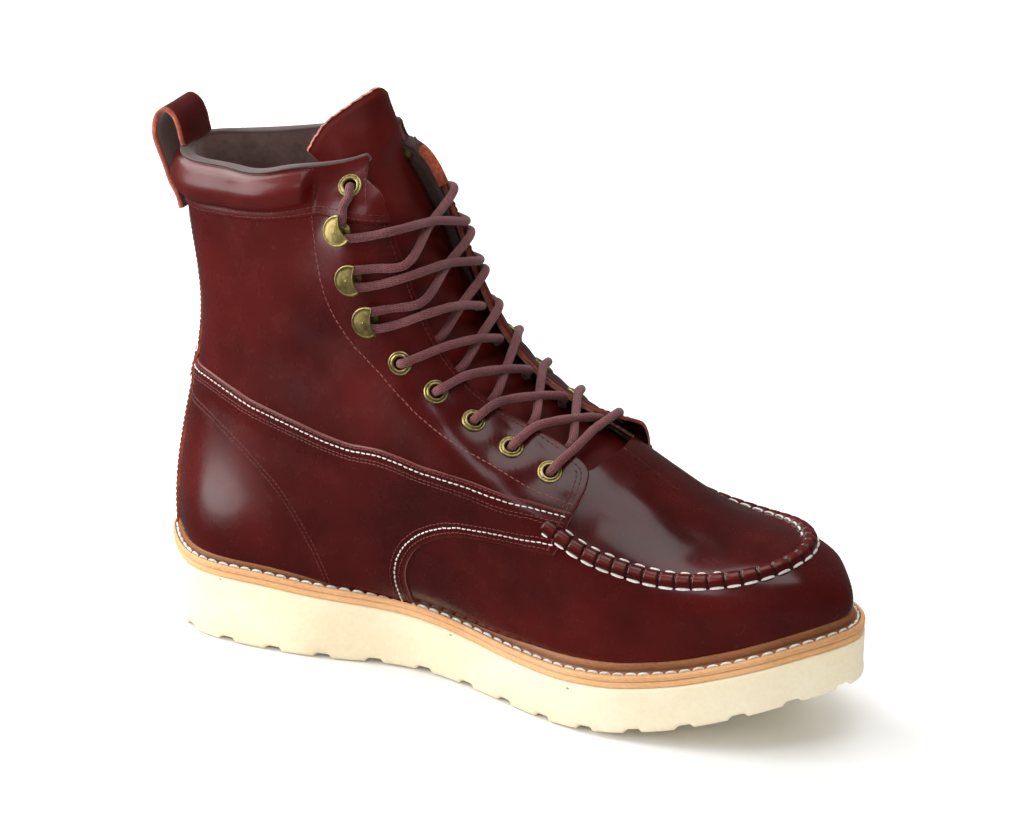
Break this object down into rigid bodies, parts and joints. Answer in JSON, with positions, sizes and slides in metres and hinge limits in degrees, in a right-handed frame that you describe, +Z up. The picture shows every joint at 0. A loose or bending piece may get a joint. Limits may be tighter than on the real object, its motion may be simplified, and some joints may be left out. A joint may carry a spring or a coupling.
{
  "type": "wedge sole work boot",
  "caption": "Left eight-inch moc-toe work boot in dark red leather on a cream wedge sole, with welt, padded collar, laces, brass eyelets and hooks.",
  "frame": {"origin": "bottom centre of the whole boot, on the floor it stands on", "axes": "+X to the toe, +Y to the outer side of this left foot, +Z up"},
  "size_m": [0.3064, 0.107, 0.2256],
  "materials": {
    "sole": "matte cream foamed rubber with fine pores",
    "midsole": "trimmed light tan edge",
    "welt": "oiled brown welt with a tan cut edge and white thread",
    "insole": "plain vegetable-tanned board",
    "upper_leather": "glossy waxed pull-up leather, oxblood, smooth grain",
    "collar_leather": "glossy oxblood outside, soft matte brown lining",
    "tongue_leather": "glossy oxblood leather with a raw orange edge",
    "brass": "antique brass, dark in the recesses",
    "lace": "round braided waxed cord"
  },
  "bodies": {
    "root": {"outsole": "sole", "midsole": "midsole", "welt": "welt", "insole": "insole", "upper": "upper_leather", "backstay": "upper_leather", "collar_pad": "collar_leather", "moc_seam": "upper_leather", "tongue": "tongue_leather", "pull_loop": "upper_leather", "eyelet_m1": "brass", "eyelet_l1": "brass", "hook_m2": "brass", "hook_l2": "brass", "hook_m3": "brass", "hook_l3": "brass", "hook_m4": "brass", "hook_l4": "brass", "eyelet_m5": "brass", "eyelet_l5": "brass", "eyelet_m6": "brass", "eyelet_l6": "brass", "eyelet_m7": "brass", "eyelet_l7": "brass", "eyelet_m8": "brass", "eyelet_l8": "brass", "eyelet_m9": "brass", "eyelet_l9": "brass", "lace_bar_9": "lace", "lace_cross_9": "lace", "lace_cross_8": "lace", "lace_cross_7": "lace", "lace_cross_6": "lace", "lace_cross_5": "lace", "lace_cross_4": "lace", "lace_cross_3": "lace", "lace_end_m": "lace", "lace_end_l": "lace"}
  },
  "joints": []
}
